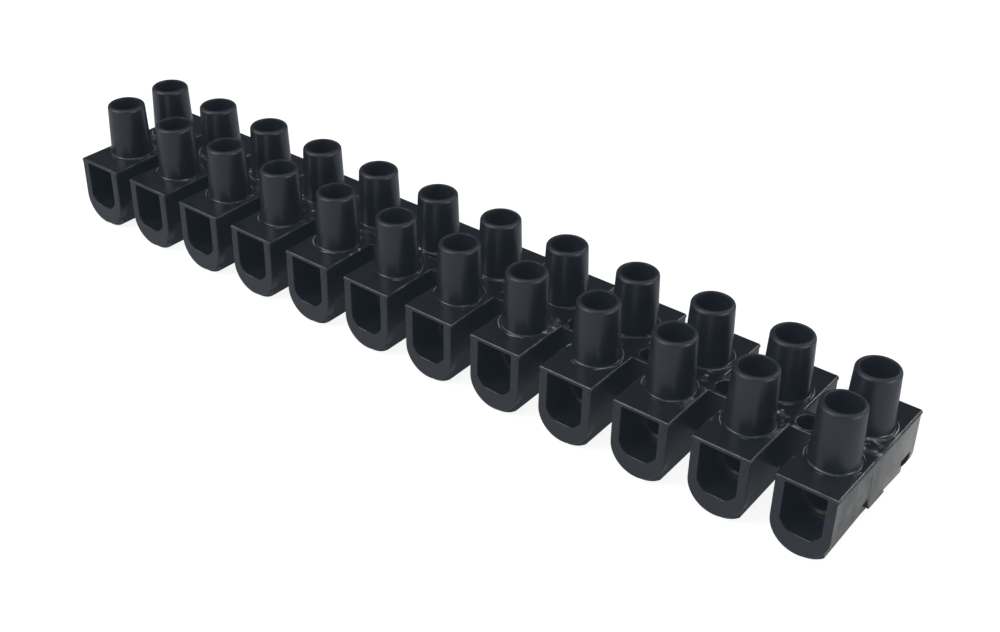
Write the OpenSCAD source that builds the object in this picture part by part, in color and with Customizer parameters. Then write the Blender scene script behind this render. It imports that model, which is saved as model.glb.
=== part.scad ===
// Terminal strip: one moulded housing with a row of ways, each with a brass insert and two clamp screws.
// X runs along the row, Y through each way from wire to wire, Z up. The origin is on the surface that
// the strip lies on, under the middle of the row.

/* [Row] */
// Number of ways in the row
ways = 12; // [2:1:24]
// Distance from one way to the next
pitch = 12; // [11:0.25:16]

/* [Way body] */
// Width of a way's body across its flat sides
body_w = 8.5; // [7.8:0.1:9]
// Length of a way's body from one wire mouth to the other
body_l = 23.8; // [22:0.2:32]
// Height of a way's flat top above the surface that the strip lies on
body_h = 11.6; // [10.6:0.2:14]
// Chamfer along the two long edges of the flat top
top_chamfer = 0.3; // [0.2:0.05:0.7]
// Chamfer round the outside of each wire mouth
end_chamfer = 0.2; // [0.1:0.05:0.6]
// Length of the full-width band behind each wire mouth
band_l = 1.4; // [0.8:0.1:2.4]
// Height of the lowest line of that band above the surface that the strip lies on
band_lift = 0.7; // [0.2:0.1:1]
// Thickness of the belly's walls beside the wire mouths
belly_wall = 0.5; // [0.4:0.05:0.7]
// Width of the belly at its waist, halfway between the wire mouths
waist_w = 6; // [5.8:0.1:6.6]
// Height of the ledge along each flank above the widest line of the mouth's round
ledge_rise = 0.6; // [0.3:0.1:1]

/* [Wire mouth] */
// Width of the wire mouth
mouth_w = 5.8; // [5.6:0.1:6.4]
// Thickness of the roof over the wire mouth
mouth_roof = 0.5; // [0.4:0.1:1.2]
// Cut across the two lower corners of the wire mouth
mouth_corner = 1.5; // [0.5:0.1:1.6]
// Step down from the underside of the insert to the floor of the wire mouth
mouth_step = 0.1; // [0.05:0.05:0.4]

/* [Turrets] */
// Height of a turret above the flat top of its way
turret_h = 8.7; // [6:0.1:12]
// Diameter of a turret just above its base flare
turret_base_d = 6.7; // [6.4:0.1:7]
// Diameter of a turret just under its rounded rim
turret_top_d = 6.1; // [5.8:0.1:6.8]
// Radius of the round on the outside of a turret's rim
rim_round = 0.7; // [0.3:0.1:0.8]
// Height and width of the flare round a turret's base
base_flare = 0.3; // [0.1:0.05:0.4]
// Diameter of the screw well in a turret
well_d = 4.8; // [4.6:0.1:5]

/* [Webs] */
// Length of the webs between the ways, measured from front to back
web_l = 4.4; // [4:0.2:6]
// Height of the webs, measured down from the flat tops
web_h = 7.4; // [4:0.2:9]
// Length of the web stub left at each end of the row
stub_l = 0.45; // [0.2:0.05:1.5]
// Diameter of the fixing holes in the webs
fixing_hole_d = 3.2; // [2.4:0.1:3.4]

/* [Inserts] */
// Outside diameter of an insert
insert_od = 5.4; // [5:0.1:5.4]
// Diameter of the wire bore through an insert
insert_bore = 3.8; // [3:0.1:4]
// Length of an insert
insert_l = 14; // [12:0.1:16]
// Distance from each end of an insert to the axis of the screw and turret there
screw_end = 2.25; // [2.2:0.05:3]
// Depth of an insert's axis under the flat top of its way
insert_depth = 5.05; // [4.8:0.05:5.4]
// Chamfer at both ends of the wire bore
bore_chamfer = 0.3; // [0.1:0.05:0.5]

/* [Clamp screws] */
// Thread diameter of a clamp screw
thread_d = 3.5; // [3:0.1:3.6]
// Radial clearance between a screw and its tapped hole
thread_clearance = 0.08; // [0.04:0.01:0.1]
// Length of a screw under its head
shank_l = 4.6; // [4.6:0.1:6]
// Diameter of a screw head
head_d = 4.3; // [4:0.05:4.4]
// Height of a screw head
head_h = 2; // [1.6:0.1:2.4]
// Chamfer round the top of a screw head
head_chamfer = 0.25; // [0.1:0.05:0.4]
// Width of the screwdriver slot
slot_w = 0.8; // [0.6:0.1:1]
// Depth of the screwdriver slot
slot_depth = 1; // [0.6:0.1:1.2]
// Chamfer at the tip of a screw
tip_chamfer = 0.4; // [0.2:0.1:0.6]
// Gap between the tip of a backed-out screw and the wire bore
tip_gap = 0.15; // [0.05:0.05:0.4]

/* [Hidden] */
$fn = 48;
// Extra length of a cut past the face that it opens
past = 1;
// Depth to which a shape runs into the one that it grows from
overlap = 0.5;
// Distance between the front and the back row of screws and turrets
row_gap = insert_l - 2 * screw_end;
band_z = band_lift + body_w / 2;
ledge_z = band_z + ledge_rise;
insert_z = body_h - insert_depth;
mouth_floor = insert_z - insert_od / 2 - mouth_step;
row_l = (ways - 1) * pitch + body_w;
tapped_d = thread_d + 2 * thread_clearance;
tip_z = insert_z + insert_bore / 2 + tip_gap;
rows = [["front", -1], ["back", 1]];

function two_digits(number) = str(number < 10 ? "0" : "", number);
function insert_name(way) = str("insert_", two_digits(way));
function screw_name(way, row) = str("screw_", two_digits(way), "_", row[0]);
function way_x(way) = (way - (ways + 1) / 2) * pitch;
function row_y(row) = row[1] * row_gap / 2;

// Turns a solid that stands along Z to lie along Y
module along_y() {
    rotate([90, 0, 0]) children();
}

// Copies for every way of the row
module each_way() {
    for (way = [1 : ways]) {
        translate([way_x(way), 0, 0]) children();
    }
}

// Copies for every turret of the row
module each_turret() {
    for (row = rows) {
        each_way() translate([0, row_y(row), 0]) children();
    }
}

// Rectangle about the origin with its four corners cut off
module clipped_rectangle(width, height, clip) {
    x = width / 2;
    y = height / 2;
    polygon([
        [clip - x, -y],
        [x - clip, -y],
        [x, clip - y],
        [x, y - clip],
        [x - clip, y],
        [clip - x, y],
        [-x, y - clip],
        [-x, clip - y]
    ]);
}

// Round lower half of the band behind one wire mouth, chamfered at the mouth
module mouth_band() {
    band_r = body_w / 2;
    translate([0, -body_l / 2, band_z]) along_y() mirror([0, 0, 1]) rotate_extrude() polygon([
        [0, 0],
        [band_r - end_chamfer, 0],
        [band_r, end_chamfer],
        [band_r, band_l],
        [0, band_l]
    ]);
}

// Round-bottomed belly that carries the insert between the two bands, with flat flanks drawn in at its waist
module belly() {
    end_x = mouth_w / 2 + belly_wall;
    end_y = body_l / 2 - band_l + overlap;
    waist_x = waist_w / 2;
    intersection() {
        linear_extrude(ledge_z + overlap) polygon([
            [-end_x, -end_y],
            [end_x, -end_y],
            [waist_x, 0],
            [end_x, end_y],
            [-end_x, end_y],
            [-waist_x, 0]
        ]);
        translate([0, 0, band_z]) along_y() cylinder(h = body_l, r = band_z, center = true);
    }
}

// Side view of a way's upper half, with a ledge along the flank between the two mouth bands
module block_side() {
    end_y = body_l / 2;
    band_y = end_y - band_l;
    polygon([
        [-end_y, band_z],
        [-band_y, band_z],
        [-band_y, ledge_z],
        [band_y, ledge_z],
        [band_y, band_z],
        [end_y, band_z],
        [end_y, body_h - end_chamfer],
        [end_y - end_chamfer, body_h],
        [end_chamfer - end_y, body_h],
        [-end_y, body_h - end_chamfer]
    ]);
}

// Flat-sided upper half of a way, chamfered along its top and round its mouths
module way_block() {
    intersection() {
        linear_extrude(body_h + past) clipped_rectangle(body_w, body_l, end_chamfer);
        along_y() linear_extrude(body_l + past, center = true)
            clipped_rectangle(body_w, 2 * body_h, top_chamfer);
        rotate([90, 0, 90]) linear_extrude(body_w + past, center = true) block_side();
    }
}

// Turret outside: flared foot, slight taper and a rounded rim
module turret() {
    base_r = turret_base_d / 2;
    top_r = turret_top_d / 2;
    round_z = turret_h - rim_round;
    translate([0, 0, body_h]) rotate_extrude() union() {
        polygon([
            [0, -overlap],
            [base_r + base_flare, -overlap],
            [base_r + base_flare, 0],
            [base_r, base_flare],
            [top_r, round_z],
            [0, round_z]
        ]);
        square([top_r - rim_round, turret_h]);
        translate([top_r - rim_round, round_z]) circle(rim_round);
    }
}

// Bar that makes all the webs and the two end stubs
module web_bar() {
    bar_l = row_l + 2 * stub_l;
    translate([-bar_l / 2, -web_l / 2, body_h - web_h]) cube([bar_l, web_l, web_h]);
}

// Wire mouth with a flat roof and cut lower corners, from the end of the insert out through the end face
module wire_mouth() {
    depth = (body_l - insert_l) / 2 + past;
    half_w = mouth_w / 2;
    roof_z = body_h - mouth_roof;
    translate([0, -insert_l / 2, 0]) along_y() linear_extrude(depth) polygon([
        [-half_w, mouth_floor + mouth_corner],
        [mouth_corner - half_w, mouth_floor],
        [half_w - mouth_corner, mouth_floor],
        [half_w, mouth_floor + mouth_corner],
        [half_w, roof_z],
        [-half_w, roof_z]
    ]);
}

// Seat that holds the insert, run through both wire mouths
module insert_seat() {
    translate([0, 0, insert_z]) along_y() cylinder(h = body_l, d = insert_od, center = true);
}

// Screw well from the rim of a turret down to the insert
module screw_well() {
    translate([0, 0, insert_z]) cylinder(h = body_h + turret_h + past - insert_z, d = well_d);
}

// Fixing holes through the webs
module fixing_holes() {
    for (gap = [1 : ways - 1]) {
        translate([way_x(gap) + pitch / 2, 0, -past]) cylinder(h = body_h + 2 * past, d = fixing_hole_d);
    }
}

module housing() {
    color([0.07, 0.08, 0.09]) difference() {
        union() {
            each_way() {
                mouth_band();
                mirror([0, 1, 0]) mouth_band();
                belly();
            }
            each_way() way_block();
            each_turret() turret();
            web_bar();
        }
        each_way() {
            insert_seat();
            wire_mouth();
            mirror([0, 1, 0]) wire_mouth();
        }
        each_turret() screw_well();
        fixing_holes();
    }
}

// Brass tube with a chamfered wire bore and two tapped holes under the turrets
module insert(way) {
    wide_r = insert_bore / 2 + bore_chamfer;
    color([0.78, 0.6, 0.3]) translate([way_x(way), 0, insert_z]) difference() {
        along_y() cylinder(h = insert_l, d = insert_od, center = true);
        along_y() rotate_extrude() polygon([
            [0, -insert_l / 2 - past],
            [wide_r, -insert_l / 2 - past],
            [wide_r, -insert_l / 2],
            [insert_bore / 2, bore_chamfer - insert_l / 2],
            [insert_bore / 2, insert_l / 2 - bore_chamfer],
            [wide_r, insert_l / 2],
            [wide_r, insert_l / 2 + past],
            [0, insert_l / 2 + past]
        ]);
        for (row = rows) {
            translate([0, row_y(row), 0]) cylinder(h = insert_od, d = tapped_d);
        }
    }
}

// Slotted cheese-head screw, backed out until its tip clears the wire bore
module screw(way, row) {
    thread_r = thread_d / 2;
    head_r = head_d / 2;
    screw_l = shank_l + head_h;
    color([0.72, 0.74, 0.76]) translate([way_x(way), row_y(row), tip_z]) difference() {
        rotate_extrude() polygon([
            [0, 0],
            [thread_r - tip_chamfer, 0],
            [thread_r, tip_chamfer],
            [thread_r, shank_l],
            [head_r, shank_l],
            [head_r, screw_l - head_chamfer],
            [head_r - head_chamfer, screw_l],
            [0, screw_l]
        ]);
        translate([-head_d, -slot_w / 2, screw_l - slot_depth]) cube([2 * head_d, slot_w, slot_depth + past]);
    }
}

housing();
for (way = [1 : ways]) {
    insert(way);
    for (row = rows) {
        screw(way, row);
    }
}
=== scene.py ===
# %% [markdown]
# # A terminal strip in satin black plastic
# The real strip is one long moulding. Brass tubes sit inside it, and steel screws in tall turrets clamp the
# wires that enter from both sides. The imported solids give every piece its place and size. This script gives
# the pieces soft moulded edges, threads and finishes, and then sets up the light and the camera.

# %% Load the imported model
import math

import bmesh
import bpy
from mathutils import Matrix, Vector


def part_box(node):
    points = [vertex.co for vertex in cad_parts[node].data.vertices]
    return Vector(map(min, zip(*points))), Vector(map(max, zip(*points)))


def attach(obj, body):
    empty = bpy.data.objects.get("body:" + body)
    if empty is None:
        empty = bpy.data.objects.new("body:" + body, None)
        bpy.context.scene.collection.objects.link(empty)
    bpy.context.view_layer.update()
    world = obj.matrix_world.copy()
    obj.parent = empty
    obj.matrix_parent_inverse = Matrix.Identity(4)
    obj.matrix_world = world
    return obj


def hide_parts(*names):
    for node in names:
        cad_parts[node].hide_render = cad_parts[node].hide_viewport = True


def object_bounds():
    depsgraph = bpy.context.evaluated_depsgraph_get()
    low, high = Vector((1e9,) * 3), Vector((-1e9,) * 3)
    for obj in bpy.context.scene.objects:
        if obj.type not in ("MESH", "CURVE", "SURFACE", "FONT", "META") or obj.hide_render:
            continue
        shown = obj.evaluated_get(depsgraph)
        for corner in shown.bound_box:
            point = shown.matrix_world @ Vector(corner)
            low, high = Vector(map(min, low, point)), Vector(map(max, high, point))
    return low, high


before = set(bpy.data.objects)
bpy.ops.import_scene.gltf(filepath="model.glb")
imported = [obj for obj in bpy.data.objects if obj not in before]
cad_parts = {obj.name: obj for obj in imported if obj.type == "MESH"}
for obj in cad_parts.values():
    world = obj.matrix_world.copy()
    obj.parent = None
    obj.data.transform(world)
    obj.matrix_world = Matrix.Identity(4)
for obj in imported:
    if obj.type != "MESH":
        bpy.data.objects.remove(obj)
cad_low, cad_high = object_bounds()

# %% [markdown]
# ## Sizes
# Places come from the solids where a solid gives them: the inserts tell where the ways are, and the screws
# where the turrets are. The other sizes repeat those of the solid housing. Blender works in metres, so each
# size is written in millimetres and multiplied.

# %% Sizes of the strip
MM = 0.001
PRINT_DIGITS = 2
STRIP = "strip"
HOUSING = "housing"


def in_mm(length):
    """A length in millimetres, short enough to print."""
    return round(length / MM, PRINT_DIGITS)


first_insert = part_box("insert_01")
next_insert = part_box("insert_02")
way_count = sum(name.startswith("insert_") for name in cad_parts)
pitch = next_insert[0].x - first_insert[0].x
insert_end = first_insert[1].y
insert_radius = (first_insert[1].x - first_insert[0].x) / 2
insert_height = (first_insert[0].z + first_insert[1].z) / 2
front_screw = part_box("screw_01_front")
back_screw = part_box("screw_01_back")
row_gap = back_screw[0].y - front_screw[0].y

body_width = 8.5 * MM
body_length = 23.8 * MM
body_top = 11.6 * MM
band_length = 1.4 * MM
band_height = 4.95 * MM
ledge_height = 5.55 * MM
print("ways:", way_count, "pitch in mm:", in_mm(pitch), "rows apart in mm:", in_mm(row_gap))

# %% [markdown]
# ## Rings
# Most of the moulding is a skin drawn over a chain of rings, as a boat's planks lie over its frames. Every
# ring has the same number of points, so each one joins the next with plain four-sided faces. A primitive
# with a bevel would be quicker, but a ring gives each edge its own round, which is what catches the light.

# %% Outlines with four corners
CORNER_STEPS = 12
FLANK_POINTS = 4
RIGHT_ANGLE = math.pi / 2


def quarter_turn(steps):
    """Angles from nothing to a right angle, in equal steps."""
    return [RIGHT_ANGLE * step / steps for step in range(steps + 1)]


def corner(x, z, radius, start, flat):
    """Points round one corner: an arc where flat is 0, a straight cut where it is 1."""
    first = Vector((math.cos(start), math.sin(start)))
    last = Vector((math.sin(start), -math.cos(start)))
    points = []
    for turn in quarter_turn(CORNER_STEPS):
        curved = Vector((math.cos(start - turn), math.sin(start - turn)))
        straight = first.lerp(last, turn / RIGHT_ANGLE)
        place = curved.lerp(straight, flat) * radius
        points.append((x + place.x, z + place.y))
    return points


def outline(half_width, low, high, high_round, low_round, low_flat=0, eaves=0, flank=None):
    """Closed outline of four corners, the same on both sides, with more points on each flank."""
    middle = (high - high_round + low + low_round) / 2
    right = corner(half_width + eaves - high_round, high - high_round, high_round, RIGHT_ANGLE, 0)
    right += flank or [(half_width, middle)] * FLANK_POINTS
    right += corner(half_width - low_round, low + low_round, low_round, 0, low_flat)
    left = [(-x, z) for x, z in reversed(right)]
    return right + left


def across(points, y):
    """A ring in the plane across Y."""
    return [(x, y, z) for x, z in points]


print("points in a ring:", len(outline(body_width, 0, body_top, MM, MM)))

# %% [markdown]
# ## Skins
# A skin joins each ring to the next. Points that fall together are merged, and the faces are turned outwards,
# because the order of the rings alone doesn't say which side is the inside. A chain that runs back to its
# first ring is closed by itself. Any other chain gets a flat face at both ends.

# %% Skins over rings
WELD = 1e-7


def add_object(name, mesh):
    """Puts a mesh into the scene at the origin."""
    piece = bpy.data.objects.new(name, mesh)
    bpy.context.scene.collection.objects.link(piece)
    return piece


def edit_mesh(mesh, change):
    """Lets a function change the points and faces of a mesh, and gives the mesh back."""
    form = bmesh.new()
    form.from_mesh(mesh)
    change(form)
    form.to_mesh(mesh)
    form.free()
    return mesh


def close_skin(form):
    """Merges points that fall together and turns every face outwards."""
    bmesh.ops.remove_doubles(form, verts=form.verts, dist=WELD)
    bmesh.ops.recalc_face_normals(form, faces=form.faces)


def skin(name, rings, closed):
    """Mesh over a chain of rings: closed runs on to the first ring, open gets a flat face at both ends."""
    count = len(rings[0])
    spans = len(rings) if closed else len(rings) - 1
    points = [point for ring in rings for point in ring]
    faces = []
    for span in range(spans):
        here = span * count
        there = (span + 1) % len(rings) * count
        for column in range(count):
            after = (column + 1) % count
            faces.append((here + column, here + after, there + after, there + column))
    if not closed:
        faces.append(tuple(range(count)))
        faces.append(tuple(range(len(points) - count, len(points))))
    mesh = bpy.data.meshes.new(name)
    mesh.from_pydata(points, [], faces)
    return edit_mesh(mesh, close_skin)


print("points are merged within metres:", WELD)

# %% [markdown]
# ## One way of the moulding
# A way is a flat-topped body with a wire mouth at both ends. Its skin starts at the bottom of the front
# mouth, comes out over the lip and the edge, runs along the flanks to the back, goes in again and returns
# through the seat of the insert, so it is one closed surface. Cutting the mouths out of a block would work
# too, but it leaves hard edges that are difficult to round.

# %% Sizes of a way
mouth_width = 5.8 * MM
mouth_step = 0.1 * MM
mouth_floor = insert_height - insert_radius - mouth_step
roof_thickness = 0.58 * MM
mouth_roof = body_top - roof_thickness
mouth_cut = 1.5 * MM
mouth_flatness = 0.65
mouth_corner = 0.25 * MM
lip_round = 0.12 * MM
edge_round = 0.2 * MM
top_round = 0.36 * MM
flash_reach = 0.13 * MM
flash_height = 0.5 * MM
belly_overlap = 0.5 * MM
belly_end = body_length / 2 - band_length + belly_overlap
belly_half_width = 3.4 * MM
waist_half_width = 3.0 * MM
core_low = 1.2 * MM
core_round = 2.6 * MM
print("mouth in mm:", in_mm(mouth_width), "by", in_mm(mouth_roof - mouth_floor))

# %% Rings of a way
LIP_STEPS = 3
EDGE_STEPS = 4
# A corner cut at 45 degrees grows by this share of what is added all round.
CUT_GROWTH = 2 - math.sqrt(2)


def mouth_outline(swell):
    """Wire mouth, made larger by swell all round."""
    half = mouth_width / 2 + swell
    cut = mouth_cut + swell * CUT_GROWTH
    return outline(half, mouth_floor - swell, mouth_roof + swell, mouth_corner, cut, low_flat=mouth_flatness)


def flash_step(half):
    """Step under the thin flash that stands out along the top edge."""
    low = body_top - flash_height
    return [(half + flash_reach, low), (half, low - flash_reach)]


def band_outline(inset):
    """Outer outline at a mouth: a flat top and a full round underneath."""
    half = body_width / 2 - inset
    step = flash_step(half)
    flank = step + [(half, ledge_height)] * (FLANK_POINTS - len(step))
    low = band_height - half
    high = body_top - inset
    return outline(half, low, high, top_round - inset, half, eaves=flash_reach, flank=flank)


def belly_reach(y):
    """Half width of the belly, which draws in towards its waist."""
    return waist_half_width + (belly_half_width - waist_half_width) * abs(y) / belly_end


def middle_ring(y):
    """Ring between the mouths: the flank ends in a ledge over a narrower belly."""
    wide = body_width / 2
    slim = belly_reach(y)
    flank = flash_step(wide) + [(wide, ledge_height), (slim, ledge_height)]
    eaves = wide - slim + flash_reach
    return across(outline(slim, core_low, body_top, top_round, core_round, eaves=eaves, flank=flank), y)


def mouth_rings(side):
    """Rings of one end, from the bottom of the mouth over its lip and edge to the start of the belly."""
    end = body_length / 2
    rings = [across(mouth_outline(0), side * insert_end)]
    for angle in quarter_turn(LIP_STEPS):
        swell = lip_round * (1 - math.cos(angle))
        reach = end - lip_round * (1 - math.sin(angle))
        rings.append(across(mouth_outline(swell), side * reach))
    for angle in quarter_turn(EDGE_STEPS):
        inset = edge_round * (1 - math.sin(angle))
        reach = end - edge_round * (1 - math.cos(angle))
        rings.append(across(band_outline(inset), side * reach))
    rings.append(across(band_outline(0), side * (end - band_length)))
    rings.append(middle_ring(side * (end - band_length)))
    return rings


seat = outline(insert_radius, insert_height - insert_radius, insert_height + insert_radius,
               insert_radius, insert_radius)
way_rings = mouth_rings(-1) + [middle_ring(0)] + mouth_rings(1)[::-1]
way_rings += [across(seat, insert_end), across(seat, -insert_end)]
way = add_object("way", skin("way", way_rings, closed=True))
print("rings of one way:", len(way_rings))

# %% [markdown]
# ## Screw wells
# Each screw stands in a round well that runs from the top face down to the insert. Rings would have to change
# direction there, because the well meets the round seat at a right angle. So a boolean takes the wells out of
# the finished way. The cut can leave points that fall together, and those are merged at once.

# %% Drill the wells
WELL_SEGMENTS = 48

well_radius = 2.4 * MM


def settle(piece):
    """Turns a piece with modifiers into the plain mesh that they make."""
    graph = bpy.context.evaluated_depsgraph_get()
    mesh = bpy.data.meshes.new_from_object(piece.evaluated_get(graph))
    piece.modifiers.clear()
    piece.data = mesh


def close_cut(form):
    """Merges points that fall together, and drops the faces that this leaves without area."""
    bmesh.ops.remove_doubles(form, verts=form.verts, dist=WELD)
    bmesh.ops.dissolve_degenerate(form, edges=form.edges, dist=WELD)


def cut_out(piece, cutter):
    """Takes cutter's volume out of piece and removes the cutter."""
    change = piece.modifiers.new("cut", "BOOLEAN")
    change.operation = "DIFFERENCE"
    change.solver = "EXACT"
    change.object = cutter
    settle(piece)
    edit_mesh(piece.data, close_cut)
    bpy.data.objects.remove(cutter)


def well_drill(side):
    """Round drill for one well, from the middle of the insert to high above the top face."""
    height = 2 * body_top - insert_height
    place = Matrix.Translation((0, side * row_gap / 2, insert_height + height / 2))

    def turn_drill(form):
        bmesh.ops.create_cone(form, cap_ends=True, segments=WELL_SEGMENTS, radius1=well_radius,
                              radius2=well_radius, depth=height, matrix=place)

    return add_object("drill", edit_mesh(bpy.data.meshes.new("drill"), turn_drill))


for side in (-1, 1):
    cut_out(way, well_drill(side))
print("faces of one way:", len(way.data.polygons))

# %% [markdown]
# ## Keels
# Under each way the belly runs a little lower than the mouths, so the strip stands on twelve round keels. A
# keel draws in with the waist of the belly, which a turned shape couldn't do. So it is a skin of its own,
# and its flat top is hidden in the body.

# %% One keel
KEEL_STEPS = 24

keel_edge = 0.1 * MM
keel_drop = 0.02 * MM
keel_round = band_height - cad_low.z
keel_top = mouth_floor - keel_drop


def keel_ring(inset, y):
    """Round bottom between flat flanks, cut level under the floor of the mouths."""
    half = belly_reach(y) - inset
    radius = keel_round - inset
    start = math.acos(half / radius)
    points = [(half, y, keel_top)]
    for step in range(KEEL_STEPS + 1):
        angle = start + (math.pi - 2 * start) * step / KEEL_STEPS
        points.append((radius * math.cos(angle), y, band_height - radius * math.sin(angle)))
    points.append((-half, y, keel_top))
    return points


def keel_end(side):
    """Rings round the edge at one end of a keel."""
    rings = []
    for angle in quarter_turn(EDGE_STEPS):
        reach = belly_end - keel_edge * (1 - math.cos(angle))
        rings.append(keel_ring(keel_edge * (1 - math.sin(angle)), side * reach))
    return rings


keel_rings = keel_end(-1) + [keel_ring(0, 0)] + keel_end(1)[::-1]
keel = add_object("keel", skin("keel", keel_rings, closed=False))
print("keel length in mm:", in_mm(2 * belly_end))

# %% [markdown]
# ## Turrets
# A turret guides the screwdriver to its screw. It is round, so one profile turned about its axis gives all of
# it: a fillet at the foot, a slight taper, a soft rim and the well down the middle. A cylinder primitive
# would have neither the fillet nor the rim.

# %% One turret
TURRET_SEGMENTS = 56
ROUND_STEPS = 6
INNER_STEPS = 3
# Directions in a profile, in degrees.
RIGHT, UP, LEFT, DOWN = 0, 90, 180, 270
FULL_TURN = 2 * math.pi

turret_height = cad_high.z - body_top
turret_sink = 0.08 * MM
foot_radius = 3.35 * MM
neck_radius = 3.05 * MM
foot_fillet = 0.3 * MM
foot_edge = foot_radius + foot_fillet
rim_inner_round = 0.1 * MM
rim_round = neck_radius - well_radius - rim_inner_round
rim_level = turret_height - rim_round
lip_level = turret_height - rim_inner_round


def lathe(name, profile, segments):
    """Mesh of a profile of radii and heights turned round Z."""
    turns = [FULL_TURN * segment / segments for segment in range(segments)]
    rings = []
    for radius, height in profile:
        rings.append([(radius * math.cos(turn), radius * math.sin(turn), height) for turn in turns])
    return skin(name, rings, closed=True)


def arc(x, z, radius, start, end, steps):
    """Points of an arc in the plane of a profile, with its angles in degrees."""
    points = []
    for step in range(steps + 1):
        angle = math.radians(start + (end - start) * step / steps)
        points.append((x + radius * math.cos(angle), z + radius * math.sin(angle)))
    return points


turret_profile = [(well_radius, -turret_sink), (foot_edge, -turret_sink)]
turret_profile += arc(foot_edge, foot_fillet, foot_fillet, DOWN, LEFT, ROUND_STEPS)
turret_profile += arc(neck_radius - rim_round, rim_level, rim_round, RIGHT, UP, ROUND_STEPS)
turret_profile += arc(well_radius + rim_inner_round, lip_level, rim_inner_round, UP, LEFT, INNER_STEPS)
turret_profile = [(radius, body_top + height) for radius, height in turret_profile]
turret = add_object("turret", lathe("turret", turret_profile, TURRET_SEGMENTS))
print("turret height in mm:", in_mm(turret_height))

# %% [markdown]
# ## Flash round the feet
# Plastic that seeps between the parts of a mould leaves a thin ragged ridge, which is called flash. Here it
# runs round the foot of each turret and sinks away in places. Noise could set its height, but two waves of
# different length, multiplied, meet again after a full turn and still don't look regular. Each copy is turned
# by chance later on.

# %% Flash of one foot
RIDGE_STEPS = 6
RIDGE_MEAN = 0.2
RIDGE_SWING = 0.8
RIDGE_SHIFT = 0.4
LONG_WAVES = 2
SHORT_WAVES = 3

ridge_offset = 0.15 * MM
ridge_radius = foot_edge + ridge_offset
ridge_half_width = 0.22 * MM
ridge_rise = 0.26 * MM


def ridge_lift(turn):
    """Height of the flash at an angle. Where it is below zero, the flash is hidden under the top face."""
    wave = math.sin(LONG_WAVES * turn + RIDGE_SHIFT) * math.cos(SHORT_WAVES * turn)
    return ridge_rise * (RIDGE_MEAN + RIDGE_SWING * wave)


def ridge_ring(share):
    """Ring of the flash, from its inner foot at -1 over its crest at 0 to its outer foot at 1."""
    radius = ridge_radius + share * ridge_half_width
    points = []
    for segment in range(TURRET_SEGMENTS):
        turn = FULL_TURN * segment / TURRET_SEGMENTS
        height = (ridge_lift(turn) + turret_sink) * (1 - share * share) - turret_sink
        points.append((radius * math.cos(turn), radius * math.sin(turn), body_top + height))
    return points


ridge_rings = [ridge_ring(2 * step / RIDGE_STEPS - 1) for step in range(RIDGE_STEPS + 1)]
ridge = add_object("ridge", skin("ridge", ridge_rings, closed=True))
print("faces of one ridge:", len(ridge.data.polygons))

# %% [markdown]
# ## Webs
# A web is a short bar that joins two ways, with a hole for a fixing screw. Its skin goes up the outside, over
# the top edge, over the edge of the hole and down the hole, so both edges get their round in one go. The top
# lies a hair lower than the ways, because two faces in one plane would flicker.

# %% One web
web_length = 4.4 * MM
web_height = 7.4 * MM
fixing_radius = 1.6 * MM
web_edge = 0.15 * MM
web_drop = 0.02 * MM
web_gap = pitch - body_width
web_half = web_gap / 2 + top_round
web_top = body_top - web_drop
web_low = body_top - web_height


def level(points, z):
    """A ring in the level plane at height z."""
    return [(x, y, z) for x, y in points]


def web_outline(inset):
    """Web seen from above."""
    half = web_length / 2 - inset
    return outline(web_half, -half, half, web_edge, web_edge)


def hole_outline(swell):
    """Fixing hole seen from above."""
    radius = fixing_radius + swell
    return outline(radius, -radius, radius, radius, radius)


web_rings = [level(web_outline(0), web_low)]
for angle in quarter_turn(EDGE_STEPS):
    inset = web_edge * (1 - math.cos(angle))
    web_rings.append(level(web_outline(inset), web_top - web_edge * (1 - math.sin(angle))))
for angle in quarter_turn(EDGE_STEPS):
    swell = web_edge * (1 - math.sin(angle))
    web_rings.append(level(hole_outline(swell), web_top - web_edge * (1 - math.cos(angle))))
web_rings.append(level(hole_outline(0), web_low))
web = add_object("web", skin("web", web_rings, closed=True))
print("gap between ways in mm:", in_mm(web_gap))

# %% [markdown]
# ## Torn webs at the ends
# Such strips are cut from longer ones, and a rest of the torn web stays on both ends. Its upper part lies
# flush with the end face, and its foot bends outwards to a short lip. So each ring of its skin leans with the
# height. A plain block would show a hard seam on the end face.

# %% Torn webs
row_end = (way_count - 1) / 2 * pitch + body_width / 2
stub_sink = 0.01 * MM
stub_start = row_end - stub_sink
stub_root = 1.5 * MM
stub_edge = 0.06 * MM
stub_rise = 0.8 * MM
stub_bend = ledge_height + stub_rise


def stub_lean(z):
    """How far the torn web leans out: not at all above its bend, and most at its foot."""
    share = max(0, (stub_bend - z) / (stub_bend - web_low))
    return (cad_high.x - stub_start) * share * share


def stub_ring(side, inset, back):
    """Outline of the torn web at one end of the row, set back from its leaning face."""
    half = web_length / 2 - inset
    flank = []
    for step in range(FLANK_POINTS):
        flank.append((half, stub_bend + (web_low + inset + stub_edge - stub_bend) * step / FLANK_POINTS))
    points = outline(half, web_low + inset, web_top - inset, web_edge, stub_edge, flank=flank)
    return [(side * (stub_start + stub_lean(z) - back), y, z) for y, z in points]


def stub_rings(side):
    """Rings of the torn web, from its root in the end way to its face."""
    return [stub_ring(side, 0, stub_root), stub_ring(side, 0, stub_edge), stub_ring(side, stub_edge, 0)]


stubs = [add_object("stub", skin("stub", stub_rings(side), closed=False)) for side in (-1, 1)]
print("torn webs lean out by mm:", in_mm(stub_lean(web_low)))

# %% [markdown]
# ## Nodes for finishes
# A material is a tree of nodes. Most of these helpers add one node and give back its output, so that a finish
# further on reads like a recipe. Drawing the tree by hand in the node editor would give the same material,
# but a script can be read, compared and run again.

# %% Node helpers
def wire(tree, start, end):
    """Links two sockets of a node tree."""
    tree.links.new(start, end)


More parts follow.
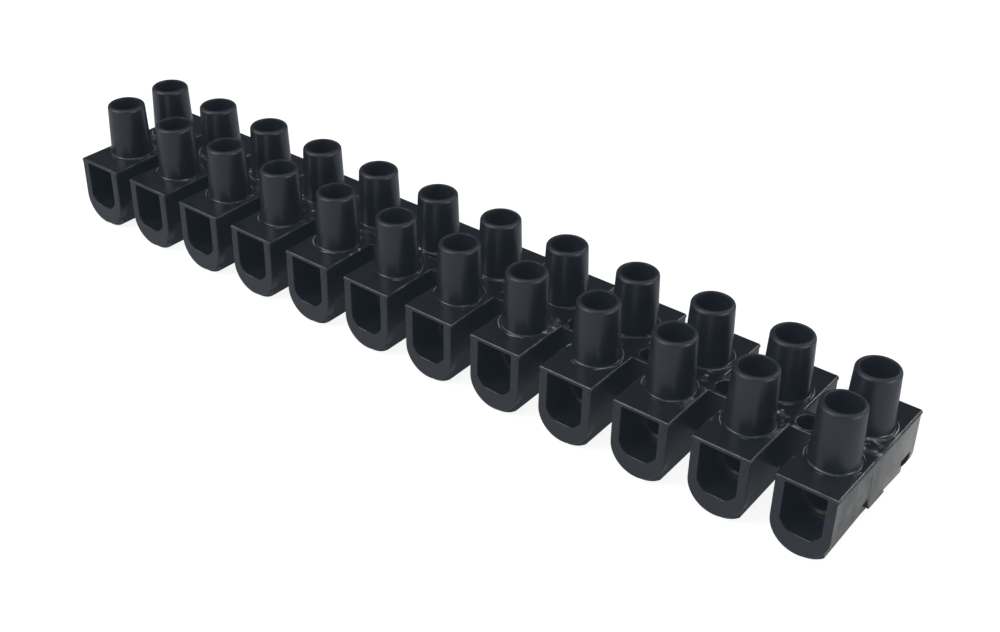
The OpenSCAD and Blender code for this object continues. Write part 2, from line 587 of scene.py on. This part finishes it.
def feed(tree, value, socket):
    """Links a socket's value to an input, or sets a plain value there."""
    if isinstance(value, bpy.types.NodeSocket):
        wire(tree, value, socket)
    else:
        socket.default_value = value


def maths(tree, operation, first, second=0.0):
    """One arithmetic node, whose values are sockets or plain numbers."""
    node = tree.nodes.new("ShaderNodeMath")
    node.operation = operation
    feed(tree, first, node.inputs[0])
    feed(tree, second, node.inputs[1])
    return node.outputs["Value"]


def add_range(tree, value, low, high, from_low=0.0, from_high=1.0):
    """Maps a value to a range."""
    node = tree.nodes.new("ShaderNodeMapRange")
    node.inputs["From Min"].default_value = from_low
    node.inputs["From Max"].default_value = from_high
    feed(tree, low, node.inputs["To Min"])
    feed(tree, high, node.inputs["To Max"])
    wire(tree, value, node.inputs["Value"])
    return node.outputs["Result"]


def add_blend(tree, share, low, high):
    """Blends two colours by a value."""
    node = tree.nodes.new("ShaderNodeMix")
    node.data_type = "RGBA"
    sockets = {socket.identifier: socket for socket in node.inputs}
    feed(tree, low, sockets["A_Color"])
    feed(tree, high, sockets["B_Color"])
    wire(tree, share, sockets["Factor_Float"])
    return {socket.identifier: socket for socket in node.outputs}["Result_Color"]


def add_bump(tree, shader, height, strength, distance):
    """Raises a surface by a height value."""
    node = tree.nodes.new("ShaderNodeBump")
    node.inputs["Strength"].default_value = strength
    node.inputs["Distance"].default_value = distance
    wire(tree, height, node.inputs["Height"])
    wire(tree, node.outputs["Normal"], shader.inputs["Normal"])


def new_material(name):
    """Material with a Principled shader, and the nodes that its maker adds to."""
    material = bpy.data.materials.new(name)
    material.use_nodes = True
    return material, material.node_tree, material.node_tree.nodes["Principled BSDF"]


print("materials so far:", [material.name for material in bpy.data.materials])

# %% [markdown]
# ## Fine variation for every finish
# No moulded or machined surface is even. One shader node group makes a fine grain and a slow cloud from the
# object's own coordinates, and each material takes them at its own scale. Grain feeds the bump, and cloud the
# roughness and the colour. A group is built once and can be placed in any material.

# %% Shared surface variation
GRAIN_SCALE = 4000.0
GRAIN_DETAIL = 3.0
CLOUD_SCALE = 300.0
CLOUD_DETAIL = 5.0


def surface_group():
    """Node group: grain and cloud, both from 0 to 1, from object coordinates."""
    group = bpy.data.node_groups.new("surface_variation", "ShaderNodeTree")
    start = group.nodes.new("NodeGroupInput")
    end = group.nodes.new("NodeGroupOutput")
    place = group.nodes.new("ShaderNodeTexCoord")
    for name, scale, detail in (("Grain", GRAIN_SCALE, GRAIN_DETAIL), ("Cloud", CLOUD_SCALE, CLOUD_DETAIL)):
        scale_name = name + " Scale"
        socket = group.interface.new_socket(name=scale_name, in_out="INPUT", socket_type="NodeSocketFloat")
        socket.default_value = scale
        group.interface.new_socket(name=name, in_out="OUTPUT", socket_type="NodeSocketFloat")
        noise = group.nodes.new("ShaderNodeTexNoise")
        noise.inputs["Detail"].default_value = detail
        wire(group, place.outputs["Object"], noise.inputs["Vector"])
        wire(group, start.outputs[scale_name], noise.inputs["Scale"])
        wire(group, noise.outputs["Fac"], end.inputs[name])
    return group


variation = surface_group()


def add_variation(tree, grain_scale, cloud_scale):
    """Places the shared group in a material with its own scales, and gives its outputs."""
    node = tree.nodes.new("ShaderNodeGroup")
    node.node_tree = variation
    node.inputs["Grain Scale"].default_value = grain_scale
    node.inputs["Cloud Scale"].default_value = cloud_scale
    return node.outputs


print("made group", variation.name)

# %% [markdown]
# ## Where the plastic is worn, and where highlights and light are painted
# A used strip is never plain black. Its edges are rubbed pale, and the pale tone there is partly a painted
# highlight. The flash and the faces near the webs are scuffed, with a painted highlight on the crests of the
# flash. The strip's ends were cut off a longer strip, and painted light makes the cut faces paler towards the
# back. Each of these is a mask, a value from 0 to 1, worked out from where a point lies and which way it
# faces.
# Painted images would do as well, but masks need no file and follow the sizes above.

# %% Masks for scuffs and flecks
# Scales are those of grain and cloud. Any other pair holds the values between which a mask changes.
SCUFF_SCALES = (1100.0, 400.0)
SCUFF_GRAIN = (0.35, 0.65)
SCUFF_PATCH = (0.56, 0.74)
FAINTEST_SCUFF = 0.3
FLECK_GRAIN = (0.60, 0.68)
FLECK_PATCH = (0.50, 0.60)
UPWARD = (0.3, 0.8)


def product(tree, first, *others):
    """Multiplies several values."""
    result = first
    for other in others:
        result = maths(tree, "MULTIPLY", result, other)
    return result


def rising(tree, value, start, end):
    """Goes from 0 to 1 while a value goes from start to end."""
    return add_range(tree, value, 0.0, 1.0, start, end)


def falling(tree, value, start, end):
    """Goes from 1 to 0 while a value goes from start to end."""
    return add_range(tree, value, 1.0, 0.0, start, end)


def between(tree, value, low, high):
    """1 where a value lies between two others, and 0 elsewhere."""
    return product(tree, maths(tree, "GREATER_THAN", value, low), maths(tree, "LESS_THAN", value, high))


def scuff_masks(tree, at, facing):
    """Masks of soft scuffs and of small flecks, both on the top faces near the webs."""
    marks = add_variation(tree, *SCUFF_SCALES)
    upward = rising(tree, facing["Z"], *UPWARD)
    on_top = between(tree, at["Z"], body_top - flash_height, body_top + ridge_rise)
    from_middle = maths(tree, "ABSOLUTE", at["Y"])
    near_web = falling(tree, from_middle, row_gap / 2, row_gap / 2 + foot_radius)
    where = product(tree, upward, on_top, near_web)
    scuff_grain = add_range(tree, marks["Grain"], FAINTEST_SCUFF, 1.0, *SCUFF_GRAIN)
    scuff_patch = rising(tree, marks["Cloud"], *SCUFF_PATCH)
    fleck_grain = rising(tree, marks["Grain"], *FLECK_GRAIN)
    fleck_patch = rising(tree, marks["Cloud"], *FLECK_PATCH)
    scuffs = product(tree, scuff_grain, scuff_patch, where)
    return scuffs, product(tree, fleck_grain, fleck_patch, where)


print("scuffs reach from the middle, in mm:", in_mm(row_gap / 2 + foot_radius))

# %% Masks for rubbed edges and crests, with painted highlights
STEEP = (0.85, 0.97)
TURNED_UP = (0.2, 0.4)
EDGE_PATCH = (0.44, 0.66)
FAINTEST_EDGE = 0.1
FOOT_PATCH = (0.52, 0.62)
STRONGEST_FOOT = 0.6
CREST = (1.1, 1.4)

foot_margin = 0.01 * MM


def rubbed_and_highlight_mask(tree, at, facing, cloud):
    """Up to 1 in patches along the rounds of the top edges and the turret feet, and 0 elsewhere. Its pale
    tone is wear and a painted highlight.
    """
    steep = falling(tree, facing["Z"], *STEEP)
    turned_up = rising(tree, facing["Z"], *TURNED_UP)
    near_top = between(tree, at["Z"], body_top - top_round, body_top + ridge_rise)
    at_feet = maths(tree, "GREATER_THAN", at["Z"], body_top + foot_margin)
    on_edges = add_range(tree, cloud, FAINTEST_EDGE, 1.0, *EDGE_PATCH)
    on_feet = add_range(tree, cloud, 0.0, STRONGEST_FOOT, *FOOT_PATCH)
    patchy = add_range(tree, at_feet, on_edges, on_feet)
    return product(tree, steep, turned_up, near_top, patchy)


def crest_scuff_and_highlight_mask(tree, at, facing):
    """Up to 1 on the crests of the flash round the feet. On the fillet, rise and facing add up to less. The
    pale tone there is scuffing and a painted highlight.
    """
    rise = maths(tree, "SUBTRACT", at["Z"], body_top)
    fillet_share = maths(tree, "DIVIDE", rise, foot_fillet)
    crest = rising(tree, maths(tree, "ADD", fillet_share, facing["Z"]), *CREST)
    return product(tree, crest, maths(tree, "LESS_THAN", rise, ridge_rise))


print("rubbed edges are this wide, in mm:", in_mm(top_round))

# %% Mask for the cut ends
OUTWARD = (0.6, 0.85)

end_margin = 0.05 * MM
fade_below = 0.15 * MM
fade_above = 0.05 * MM
flash_low = body_top - flash_height - flash_reach
waist_end = row_end - body_width / 2 + waist_half_width


def sawn_mask(tree, at, facing):
    """1 on the cut faces at both ends of the row, up to the flash along the top edge, and 0 elsewhere."""
    along = maths(tree, "ABSOLUTE", at["X"])
    end_zone = maths(tree, "GREATER_THAN", along, waist_end - end_margin)
    outward = maths(tree, "MULTIPLY", facing["X"], maths(tree, "SIGN", at["X"]))
    below = falling(tree, at["Z"], flash_low - fade_below, flash_low + fade_above)
    return product(tree, end_zone, rising(tree, outward, *OUTWARD), below)


print("cut ends start at mm:", in_mm(waist_end - end_margin))

# %% [markdown]
# ## Black moulded plastic
# The skin of the moulding is satin: it mirrors its surroundings, but softly. A fine grain and slow waves from
# the mould break up the light, the rims of the turrets are duller, and the cut ends are dull and streaked,
# with painted light that makes them paler towards the back. Painted highlights lighten the edge rounds and
# the crests of the flash.
# Each of these could be a material of its own, but the masks blend them in one, without a seam.

# %% Black plastic
DARK = (0.0060, 0.0075, 0.0105, 1)
LESS_DARK = (0.011, 0.013, 0.0165, 1)
# Tones of the cut ends: the darker one is also painted shade at the front, the paler one painted light at the
# back.
SAWN = (0.26, 0.255, 0.245, 1)
DARK_CUT_AND_PAINTED_SHADE = (0.080, 0.078, 0.074, 1)
# Pale tone of the edge rounds and feet: partly wear, partly a painted highlight.
RUBBED_AND_HIGHLIGHT = (0.085, 0.086, 0.084, 1)
# Pale tone of the scuffs, also used for a painted highlight on the crests of the flash.
SCUFF_AND_HIGHLIGHT = (0.22, 0.225, 0.23, 1)
FLECKED = (0.52, 0.535, 0.56, 1)
MOULD_SCALES = (3200.0, 260.0)
SAW_SCALES = (1500.0, 420.0)
CLOUD_SPAN = (0.3, 0.7)
STREAK_SHARE = 0.4
# How far the cut ends are painted paler towards the back, as painted light.
PAINTED_LIGHT_BACK_SHARE = 0.8
SATIN = (0.25, 0.38)
RIM_ROUGHNESS = 0.5
SAWN_ROUGHNESS = 0.7
WAVE_LIFT = 9.0
GRAIN_LIFT = 2.0
SAW_LIFT = 12.0
MOULD_BUMP = 0.2

mould_depth = 0.02 * MM


def place_and_facing(tree):
    """Where a point lies and which way it faces, each as outputs for X, Y and Z."""
    source = tree.nodes.new("ShaderNodeTexCoord")
    splits = []
    for name in ("Object", "Normal"):
        split = tree.nodes.new("ShaderNodeSeparateXYZ")
        wire(tree, source.outputs[name], split.inputs["Vector"])
        splits.append(split.outputs)
    return splits


def plastic_colour(tree, at, facing, cloud, streak, sawn):
    """Black plastic, and over it the cut ends with painted light towards the back, the rubbed edges and the
    crests with painted highlights, the scuffs and the flecks.
    """
    colour = add_blend(tree, cloud, DARK, LESS_DARK)
    streaks = add_range(tree, streak, 0.0, STREAK_SHARE, *CLOUD_SPAN)
    # Painted light: the cut face grows paler towards the back end, where more light falls.
    painted_light_to_back = add_range(tree, at["Y"], 0.0, PAINTED_LIGHT_BACK_SHARE, 0.0, body_length / 2)
    cut_colour_and_painted_light = add_blend(tree, maths(tree, "ADD", streaks, painted_light_to_back), DARK_CUT_AND_PAINTED_SHADE, SAWN)
    colour = add_blend(tree, sawn, colour, cut_colour_and_painted_light)
    # Painted highlight mixed with wear: the edge rounds and turret feet are lightened in patches.
    colour = add_blend(tree, rubbed_and_highlight_mask(tree, at, facing, streak), colour, RUBBED_AND_HIGHLIGHT)
    # Painted highlight mixed with scuffing: the crests of the flash are lightened.
    colour = add_blend(tree, crest_scuff_and_highlight_mask(tree, at, facing), colour, SCUFF_AND_HIGHLIGHT)
    scuffs, flecks = scuff_masks(tree, at, facing)
    colour = add_blend(tree, scuffs, colour, SCUFF_AND_HIGHLIGHT)
    return add_blend(tree, flecks, colour, FLECKED)


def black_plastic():
    """Satin black plastic with a fine mould grain, pale worn places with painted highlights, and a dull cut
    face at both ends, painted paler towards the back.
    """
    material, tree, shader = new_material("black_plastic")
    at, facing = place_and_facing(tree)
    spots = add_variation(tree, *MOULD_SCALES)
    saw_marks = add_variation(tree, *SAW_SCALES)
    sawn = sawn_mask(tree, at, facing)
    colour = plastic_colour(tree, at, facing, spots["Cloud"], saw_marks["Cloud"], sawn)
    wire(tree, colour, shader.inputs["Base Color"])
    satin = add_range(tree, spots["Cloud"], *SATIN, *CLOUD_SPAN)
    at_rim = rising(tree, at["Z"], cad_high.z - rim_round, cad_high.z - rim_round / 2)
    moulded = add_range(tree, at_rim, satin, RIM_ROUGHNESS)
    wire(tree, add_range(tree, sawn, moulded, SAWN_ROUGHNESS), shader.inputs["Roughness"])
    grain = maths(tree, "MULTIPLY", spots["Grain"], GRAIN_LIFT)
    waves = maths(tree, "MULTIPLY", spots["Cloud"], WAVE_LIFT)
    saw_cuts = maths(tree, "MULTIPLY", saw_marks["Grain"], SAW_LIFT)
    height = add_range(tree, sawn, maths(tree, "ADD", grain, waves), saw_cuts)
    add_bump(tree, shader, height, MOULD_BUMP, mould_depth)
    return material


plastic = black_plastic()
print("made", plastic.name, "with nodes:", len(plastic.node_tree.nodes))

# %% [markdown]
# ## Geometry Nodes for what repeats
# The moulding repeats one way twelve times and one turret twenty-four times, and the screws repeat too. Array
# modifiers could do it, but a geometry tree can also turn each copy by chance. Every tree here ends alike:
# copies on points, then Realize Instances, which turns the copies into real faces, then Set Material.

# %% Helpers for geometry trees
def new_tree(name, kinds):
    """New geometry tree with named inputs, its start node, and the identifier of each input."""
    tree = bpy.data.node_groups.new(name, "GeometryNodeTree")
    tree.interface.new_socket(name="Geometry", in_out="INPUT", socket_type="NodeSocketGeometry")
    keys = {}
    for label, kind in kinds:
        keys[label] = tree.interface.new_socket(name=label, in_out="INPUT", socket_type=kind).identifier
    tree.interface.new_socket(name="Geometry", in_out="OUTPUT", socket_type="NodeSocketGeometry")
    return tree, keys, tree.nodes.new("NodeGroupInput")


def end_tree(tree, start, points, turn):
    """Ends a tree: its geometry on each point, turned about Z, as real faces with the material."""
    spin = tree.nodes.new("ShaderNodeCombineXYZ")
    copies = tree.nodes.new("GeometryNodeInstanceOnPoints")
    real = tree.nodes.new("GeometryNodeRealizeInstances")
    finish = tree.nodes.new("GeometryNodeSetMaterial")
    end = tree.nodes.new("NodeGroupOutput")
    wire(tree, turn, spin.inputs["Z"])
    wire(tree, spin.outputs["Vector"], copies.inputs["Rotation"])
    wire(tree, points, copies.inputs["Points"])
    wire(tree, start.outputs["Geometry"], copies.inputs["Instance"])
    wire(tree, copies.outputs["Instances"], real.inputs["Geometry"])
    wire(tree, real.outputs["Geometry"], finish.inputs["Geometry"])
    wire(tree, start.outputs["Material"], finish.inputs["Material"])
    wire(tree, finish.outputs["Geometry"], end.inputs["Geometry"])


def run_tree(piece, tree, keys, values):
    """Gives a piece the plain mesh that a tree makes of it, with the tree's inputs set first."""
    change = piece.modifiers.new(tree.name, "NODES")
    change.node_group = tree
    for label, value in values.items():
        change[keys[label]] = value
    settle(piece)


print("node groups so far:", [group.name for group in bpy.data.node_groups])

# %% Tree that repeats along the row
TURN_SEED = 5
# A centred line starts half its run before the origin.
START_SHARE = -0.5


def centred_line(tree, count, step, axis):
    """Line of points along an axis, centred on the origin."""
    line = tree.nodes.new("GeometryNodeMeshLine")
    first = tree.nodes.new("ShaderNodeCombineXYZ")
    offset = tree.nodes.new("ShaderNodeCombineXYZ")
    run = maths(tree, "MULTIPLY", maths(tree, "SUBTRACT", count, 1.0), step)
    wire(tree, maths(tree, "MULTIPLY", run, START_SHARE), first.inputs[axis])
    wire(tree, step, offset.inputs[axis])
    wire(tree, count, line.inputs["Count"])
    wire(tree, first.outputs["Vector"], line.inputs["Start Location"])
    wire(tree, offset.outputs["Vector"], line.inputs["Offset"])
    return line.outputs["Mesh"]


def chance_turn(tree, spread):
    """Angle drawn by chance for each copy, from nothing to the spread."""
    chance = tree.nodes.new("FunctionNodeRandomValue")
    chance.data_type = "FLOAT"
    chance.inputs["Seed"].default_value = TURN_SEED
    most = next(socket for socket in chance.inputs if socket.name == "Max" and socket.enabled)
    wire(tree, spread, most)
    return next(socket for socket in chance.outputs if socket.enabled)


def repeat_tree():
    """Geometry tree that copies its geometry on columns along X and rows along Y."""
    kinds = (("Columns", "NodeSocketInt"), ("Column Step", "NodeSocketFloat"),
             ("Rows", "NodeSocketInt"), ("Row Step", "NodeSocketFloat"),
             ("Turn Spread", "NodeSocketFloat"), ("Material", "NodeSocketMaterial"))
    tree, keys, start = new_tree("repeat_along_row", kinds)
    columns = centred_line(tree, start.outputs["Columns"], start.outputs["Column Step"], "X")
    rows = centred_line(tree, start.outputs["Rows"], start.outputs["Row Step"], "Y")
    grid = tree.nodes.new("GeometryNodeInstanceOnPoints")
    grid_points = tree.nodes.new("GeometryNodeRealizeInstances")
    wire(tree, columns, grid.inputs["Points"])
    wire(tree, rows, grid.inputs["Instance"])
    wire(tree, grid.outputs["Instances"], grid_points.inputs["Geometry"])
    turn = chance_turn(tree, start.outputs["Turn Spread"])
    end_tree(tree, start, grid_points.outputs["Geometry"], turn)
    return tree, keys


repeat, repeat_keys = repeat_tree()
print("inputs of the tree:", list(repeat_keys))

# %% Repeat the parts of the housing
def repeat_piece(piece, columns, rows, turn_spread):
    """Replaces a piece's mesh by its copies along the row, each turned by chance within the spread."""
    values = {"Columns": columns, "Column Step": pitch, "Rows": rows, "Row Step": row_gap,
              "Turn Spread": turn_spread, "Material": plastic}
    run_tree(piece, repeat, repeat_keys, values)
    print(piece.name, "copies:", columns * rows, "faces:", len(piece.data.polygons))


repeat_piece(way, way_count, 1, 0.0)
repeat_piece(keel, way_count, 1, 0.0)
repeat_piece(turret, way_count, 2, 0.0)
repeat_piece(ridge, way_count, 2, FULL_TURN)
repeat_piece(web, way_count - 1, 1, 0.0)

# %% [markdown]
# ## The housing as one piece
# The real housing is a single shot of plastic, so its parts become one mesh. Smooth shading alone would bend
# the light on the flat faces towards the rounds beside them. So the borders of the flat faces are marked as
# sharp, and weighted normals leave the turn of the light to the small rounds.

# %% Join the housing
SHARP_EDGE = math.radians(38)
SQUARE = 0.99999


def is_flat(face):
    """Whether a face lies square to an axis, as the flat faces of the moulding do."""
    return max(abs(share) for share in face.normal) > SQUARE


def bound_flats(form):
    """Marks the border between flat faces and rounds as sharp, so that flats mirror the light evenly."""
    for edge in form.edges:
        if len({is_flat(face) for face in edge.link_faces}) > 1:
            edge.smooth = False


def shade_soft(piece):
    """Smooth shading up to the sharp angle, weighted by face area."""
    piece.data.shade_smooth()
    piece.data.set_sharp_from_angle(angle=SHARP_EDGE)
    edit_mesh(piece.data, bound_flats)
    change = piece.modifiers.new("weigh", "WEIGHTED_NORMAL")
    change.keep_sharp = True
    settle(piece)


def join_pieces(name, parts, material):
    """Joins several pieces into one mesh with one material."""
    def gather(form):
        for part in parts:
            form.from_mesh(part.data)
            bpy.data.objects.remove(part)
        for face in form.faces:
            face.material_index = 0

    mesh = edit_mesh(bpy.data.meshes.new(name), gather)
    mesh.materials.append(material)
    return add_object(name, mesh)


moulding = join_pieces("housing_moulding", [way, keel, turret, ridge, web] + stubs, plastic)
shade_soft(moulding)
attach(moulding, STRIP)
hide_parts(HOUSING)
print("housing faces:", len(moulding.data.polygons))

# %% [markdown]
# ## Brass inserts
# The inserts are short lengths of drilled brass tube. The solids already have the right shape, so they only
# get a finish: a warm metal, a little dull, with a fine grain. Metal is the simplest finish here. Its colour
# tints what it mirrors, and the cloud makes tone and roughness uneven.

# %% Brass finish
DULL_BRASS = (0.040, 0.029, 0.020, 1)
BRIGHT_BRASS = (0.11, 0.078, 0.050, 1)
BRASS_SCALES = (6000.0, 700.0)
BRASS_ROUGHNESS = (0.45, 0.62)
BRASS_BUMP = 0.15

metal_depth = 0.01 * MM


def metal_finish(name, dull, bright, scales, roughness, bump):
    """Metal with an uneven tone and a fine grain."""
    material, tree, shader = new_material(name)
    shader.inputs["Metallic"].default_value = 1.0
    spots = add_variation(tree, *scales)
    wire(tree, add_blend(tree, spots["Cloud"], dull, bright), shader.inputs["Base Color"])
    wire(tree, add_range(tree, spots["Cloud"], *roughness), shader.inputs["Roughness"])
    add_bump(tree, shader, spots["Grain"], bump, metal_depth)
    return material


brass = metal_finish("drilled_brass", DULL_BRASS, BRIGHT_BRASS, BRASS_SCALES, BRASS_ROUGHNESS, BRASS_BUMP)
inserts = [piece for name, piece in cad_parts.items() if name.startswith("insert_")]
for piece in inserts:
    piece.material_slots[0].material = brass
print("brass inserts:", len(inserts))

# %% [markdown]
# ## Clamp screws
# A clamp screw is a small slotted head on a threaded shank. The thread is a height field on a turned shank:
# the radius swings with the angle and the height together, which winds the crest into a helix. That is
# cheaper than sweeping a profile along a spiral, and it stays one closed mesh.

# %% Sizes of a screw
screw_low, screw_high = front_screw
head_radius = (screw_high.x - screw_low.x) / 2
screw_length = screw_high.z - screw_low.z
head_height = 2.0 * MM
shank_length = screw_length - head_height
crest_radius = 1.75 * MM
thread_depth = 0.28 * MM
thread_pitch = 0.6 * MM
tip_radius = 1.35 * MM
tip_height = 0.4 * MM
head_edge = 0.25 * MM
under_edge = head_edge / 4
slot_width = 0.8 * MM
slot_depth = 1.0 * MM
blade_length = 4 * head_radius
print("screw length in mm:", in_mm(screw_length), "head width in mm:", in_mm(2 * head_radius))

# %% One clamp screw
SCREW_SEGMENTS = 28
RINGS_PER_TURN = 7


def thread_radius(turn, height):
    """Radius of the shank at an angle and a height, faded out at the tip and under the head."""
    phase = (height / thread_pitch - turn / FULL_TURN) % 1
    groove = 1 - abs(2 * phase - 1)
    fade = min(1, height / tip_height, (shank_length - height) / thread_pitch)
    lead = min(1, height / tip_height)
    outer = tip_radius + (crest_radius - tip_radius) * lead
    return outer - thread_depth * groove * max(0, fade)


def screw_rings():
    """Rings of the screw from its tip to the top of its head."""
    turns = [FULL_TURN * segment / SCREW_SEGMENTS for segment in range(SCREW_SEGMENTS)]
    steps = round(shank_length / thread_pitch * RINGS_PER_TURN)
    profile = []
    for step in range(steps + 1):
        height = shank_length * step / steps
        profile.append([(thread_radius(turn, height), height) for turn in turns])
    head = [(head_radius - under_edge, shank_length), (head_radius, shank_length + under_edge)]
    top = shank_length + head_height
    head += arc(head_radius - head_edge, top - head_edge, head_edge, RIGHT, UP, EDGE_STEPS)
    profile += [[point] * SCREW_SEGMENTS for point in head]
    rings = []
    for row in profile:
        rings.append([(radius * math.cos(turn), radius * math.sin(turn), height)
                      for turn, (radius, height) in zip(turns, row)])
    return rings


def saw_blade(form):
    """Block that cuts the slot across the head."""
    size = Matrix.Diagonal((blade_length, slot_width, 2 * slot_depth, 1))
    bmesh.ops.create_cube(form, size=1, matrix=Matrix.Translation((0, 0, screw_length)) @ size)


screw = add_object("screw", skin("screw", screw_rings(), closed=False))
cut_out(screw, add_object("blade", edit_mesh(bpy.data.meshes.new("blade"), saw_blade)))
print("faces of one screw:", len(screw.data.polygons))

# %% [markdown]
# ## Zinc on the screws
# Steel screws are plated with zinc against rust, which leaves them bright and cool in tone. The recipe is the
# one for brass, with other colours, a finer grain and a smoother surface.

# %% Zinc finish
DULL_ZINC = (0.42, 0.43, 0.45, 1)
BRIGHT_ZINC = (0.70, 0.71, 0.72, 1)
ZINC_SCALES = (7000.0, 900.0)
ZINC_ROUGHNESS = (0.22, 0.45)
ZINC_BUMP = 0.2

zinc = metal_finish("zinc_steel", DULL_ZINC, BRIGHT_ZINC, ZINC_SCALES, ZINC_ROUGHNESS, ZINC_BUMP)
print("made", zinc.name)

# %% [markdown]
# ## Screws in their wells
# Each screw moves by itself, so it has to be a piece of its own. The tree puts one copy at a place and turns
# it, and every screw gets another turn, because no one lines up the slots. The mesh then sits at its place
# while its object stays at the origin, as the solids do.

# %% Place the screws
TURN_STEP = math.radians(67)


def screw_tree():
    """Geometry tree that puts one screw at a place, turned by an angle."""
    kinds = (("Place", "NodeSocketVector"), ("Turn", "NodeSocketFloat"), ("Material", "NodeSocketMaterial"))
    tree, keys, start = new_tree("screw_in_well", kinds)
    point = tree.nodes.new("GeometryNodeMeshLine")
    point.inputs["Count"].default_value = 1
    wire(tree, start.outputs["Place"], point.inputs["Start Location"])
    end_tree(tree, start, point.outputs["Mesh"], start.outputs["Turn"])
    return tree, keys


screw_place, screw_keys = screw_tree()
screw_nodes = sorted(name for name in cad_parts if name.startswith("screw_"))
for number, node in enumerate(screw_nodes):
    low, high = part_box(node)
    foot = ((low.x + high.x) / 2, (low.y + high.y) / 2, low.z)
    piece = add_object(node + "_steel", screw.data)
    run_tree(piece, screw_place, screw_keys, {"Place": foot, "Turn": number * TURN_STEP, "Material": zinc})
    shade_soft(piece)
    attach(piece, node)
    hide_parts(node)
bpy.data.objects.remove(screw)
print("screws placed:", len(screw_nodes))

# %% [markdown]
# ## Floor
# Satin black shows mostly what it mirrors. The upright faces mirror the floor, so the tone and the glow of
# the floor set how grey they look. The camera should see plain white paper, though. A Light Path node lets
# the paper have one tone for the camera and another for all other light.

# %% Paper floor
FLOOR_SIZE = 3.0
LIT_PAPER = (0.44, 0.47, 0.51, 1)
SEEN_PAPER = (0.25, 0.25, 0.25, 1)
WHITE = (1, 1, 1, 1)
PAPER_ROUGHNESS = 0.9
LIT_GLOW = 0.14
SEEN_GLOW = 0.90


def lay_floor(form):
    """One square face."""
    bmesh.ops.create_grid(form, x_segments=1, y_segments=1, size=FLOOR_SIZE / 2)


def pale_paper():
    """White paper for the camera, and a grey one for what the strip mirrors."""
    material, tree, shader = new_material("pale_paper")
    shader.inputs["Roughness"].default_value = PAPER_ROUGHNESS
    shader.inputs["Emission Color"].default_value = WHITE
    seen = tree.nodes.new("ShaderNodeLightPath").outputs["Is Camera Ray"]
    wire(tree, add_blend(tree, seen, LIT_PAPER, SEEN_PAPER), shader.inputs["Base Color"])
    wire(tree, add_range(tree, seen, LIT_GLOW, SEEN_GLOW), shader.inputs["Emission Strength"])
    return material


floor_mesh = edit_mesh(bpy.data.meshes.new("floor"), lay_floor)
floor_mesh.materials.append(pale_paper())
floor = add_object("floor", floor_mesh)
print("floor in metres:", FLOOR_SIZE)

# %% [markdown]
# ## Light
# Four square lamps light the strip softly, as windows do. The strongest stands at the left and in front, one
# hangs overhead, a small one stands at the right and behind, and one faces the right end. The room itself is
# dim, but the camera sees it pale, as a backdrop. A picture of a room round the scene could light it too, but
# lamps can be set one by one.

# %% Soft lights and dim room
# Name, place in metres, size in metres, power in watts.
SOFT_LIGHTS = (
    ("right_window", (0.34, 0.56, 0.42), 0.22, 1.2),
    ("left_window", (-0.40, -0.66, 0.50), 0.50, 6.0),
    ("overhead", (0.10, -0.15, 0.90), 0.70, 2.2),
    ("end_window", (0.75, 0.05, 0.18), 0.30, 2.5),
)
SKY = (0.95, 0.97, 1.0, 1)
DIM_SKY = 0.08
SEEN_SKY = 0.95

middle = Vector((0.0, 0.0, body_top / 2))


def soft_light(name, place, size, watts):
    """Square area light at a place, turned to the middle of the strip."""
    lamp = bpy.data.lights.new(name, "AREA")
    lamp.size = size
    lamp.energy = watts
    light = bpy.data.objects.new(name, lamp)
    light.location = place
    light.rotation_euler = (middle - Vector(place)).to_track_quat("-Z", "Y").to_euler()
    bpy.context.scene.collection.objects.link(light)


for light_row in SOFT_LIGHTS:
    soft_light(*light_row)

world = bpy.data.worlds.new("dim_room")
world.use_nodes = True
room = world.node_tree
sky = room.nodes["Background"]
sky.inputs["Color"].default_value = SKY
sky_seen = room.nodes.new("ShaderNodeLightPath").outputs["Is Camera Ray"]
wire(room, add_range(room, sky_seen, DIM_SKY, SEEN_SKY), sky.inputs["Strength"])
bpy.context.scene.world = world
print("soft lights:", len(SOFT_LIGHTS))

# %% [markdown]
# ## Haze of the lens
# In front of a bright backdrop, a lens spreads a little light over the whole picture, so even a deep well
# isn't quite black in a photo. Lifting the black level of the picture's curve gives the same veil. Paler
# materials could imitate it, but then the strip would look wrong in any other light.

# %% Haze
HAZE = (0.008, 0.0108, 0.0148)

look = bpy.context.scene.view_settings
look.view_transform = "Standard"
look.use_curve_mapping = True
look.curve_mapping.black_level = [-share for share in HAZE]
look.curve_mapping.update()
print("darkest tone shown:", HAZE)

# %% [markdown]
# ## Camera
# The camera stands where the photo was taken from: in front of the strip, past its right end, and looking
# down at it. A place, two angles, a small roll and a focal length say it all, and they are easier to adjust
# than a matrix.

# %% Camera
SENSOR_WIDTH = 36.0
NEAREST_SEEN = 0.01

eye = Vector((118.6, -142.6, 123.3)) * MM
camera_azimuth = math.radians(37.33)
camera_elevation = math.radians(32.96)
camera_roll = math.radians(1.25)
camera_lens = 52.17

camera_data = bpy.data.cameras.new("camera")
camera_data.lens = camera_lens
camera_data.sensor_width = SENSOR_WIDTH
camera_data.sensor_fit = "HORIZONTAL"
camera_data.clip_start = NEAREST_SEEN
camera = bpy.data.objects.new("camera", camera_data)
turned = Matrix.Rotation(camera_azimuth, 4, "Z") @ Matrix.Rotation(RIGHT_ANGLE - camera_elevation, 4, "X")
camera.matrix_world = Matrix.Translation(eye) @ turned @ Matrix.Rotation(camera_roll, 4, "Z")
bpy.context.scene.collection.objects.link(camera)
bpy.context.scene.camera = camera
print("camera stands at mm:", [in_mm(value) for value in eye])
